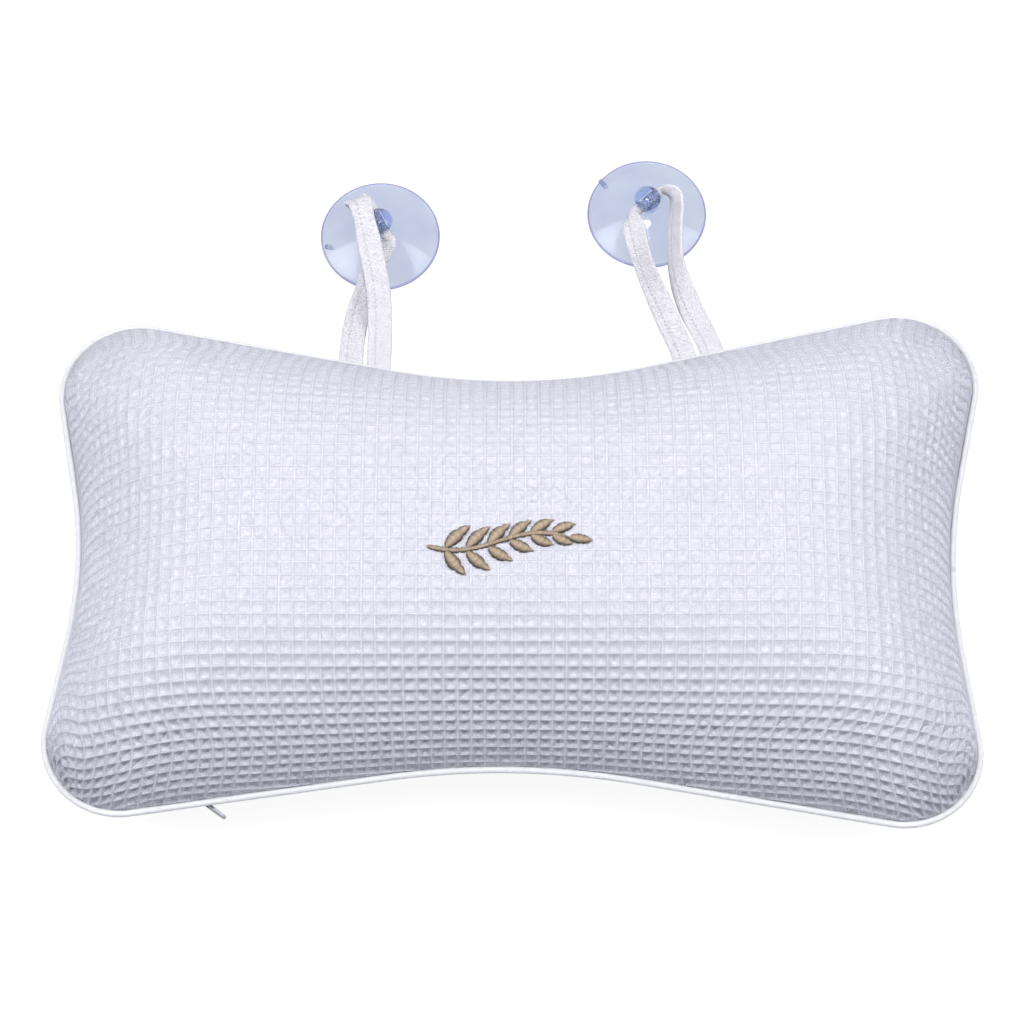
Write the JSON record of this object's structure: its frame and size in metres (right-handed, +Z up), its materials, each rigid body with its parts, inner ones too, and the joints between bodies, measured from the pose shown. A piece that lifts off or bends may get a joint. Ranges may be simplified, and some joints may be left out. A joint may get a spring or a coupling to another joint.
{
  "type": "bath pillow",
  "caption": "Bone-shaped padded bath pillow with a waffle-weave cover, piped seam, hidden zip and strapped suction cups that hold it to a bath.",
  "frame": {"origin": "centre of the flat patch on the back that the pillow lies on", "axes": "+X along the pillow's width, +Y towards the straps and cups, +Z up out of the padded front"},
  "size_m": [0.375, 0.3104, 0.1037],
  "materials": {
    "cotton": "matte",
    "satin": "satin",
    "cord": "matte",
    "lining": "matte",
    "fibre": "matte",
    "tape": "matte",
    "strap": "matte",
    "nylon": "satin",
    "metal": "satin",
    "pvc": "gloss"
  },
  "bodies": {
    "cushion": {"front_panel": "cotton", "back_panel": "cotton", "piping_sleeve": "satin", "piping_cord": "cord", "inner_case_front": "lining", "inner_case_back": "lining", "filling": "fibre", "zip_tape_front": "tape", "zip_tape_back": "tape", "zip_coil_front": "nylon", "zip_coil_back": "nylon", "zip_top_stop": "metal", "zip_bottom_stop": "metal"},
    "zip_slider": {"zip_slider": "metal"},
    "zip_pull": {"zip_pull": "metal"},
    "left_strap": {"left_strap": "strap"},
    "left_cup": {"left_suction_cup": "pvc"},
    "right_strap": {"right_strap": "strap"},
    "right_cup": {"right_suction_cup": "pvc"}
  },
  "joints": [
    {"name": "zip_run", "type": "hinge", "parent": "cushion", "child": "zip_slider", "pos_m": [-0.00776, -0.59082, 0.031], "axis": [0, 0, -1], "range_deg": [0, 26.7]},
    {"name": "zip_pull_swing", "type": "hinge", "parent": "zip_slider", "child": "zip_pull", "pos_m": [-0.12199, -0.09762, 0.031], "axis": [0, 0, -1], "range_deg": [-35, 80]},
    {"name": "left_strap_fold", "type": "hinge", "parent": "cushion", "child": "left_strap", "pos_m": [-0.06, 0.08724, 0.03345], "axis": [0.981, -0.1939, 0], "range_deg": [-40, 100], "deforming": ["left_strap"]},
    {"name": "left_cup_rock", "type": "hinge", "parent": "left_strap", "child": "left_cup", "pos_m": [-0.0552, 0.1642, 0.0115], "axis": [0.4695, -0.8829, 0], "range_deg": [-35, 35]},
    {"name": "right_strap_fold", "type": "hinge", "parent": "cushion", "child": "right_strap", "pos_m": [0.076, 0.09157, 0.03345], "axis": [0.9748, 0.2232, 0], "range_deg": [-40, 100], "deforming": ["right_strap"]},
    {"name": "right_cup_rock", "type": "hinge", "parent": "right_strap", "child": "right_cup", "pos_m": [0.0566, 0.1746, 0.0115], "axis": [0.7547, 0.6561, 0], "range_deg": [-35, 35]}
  ]
}
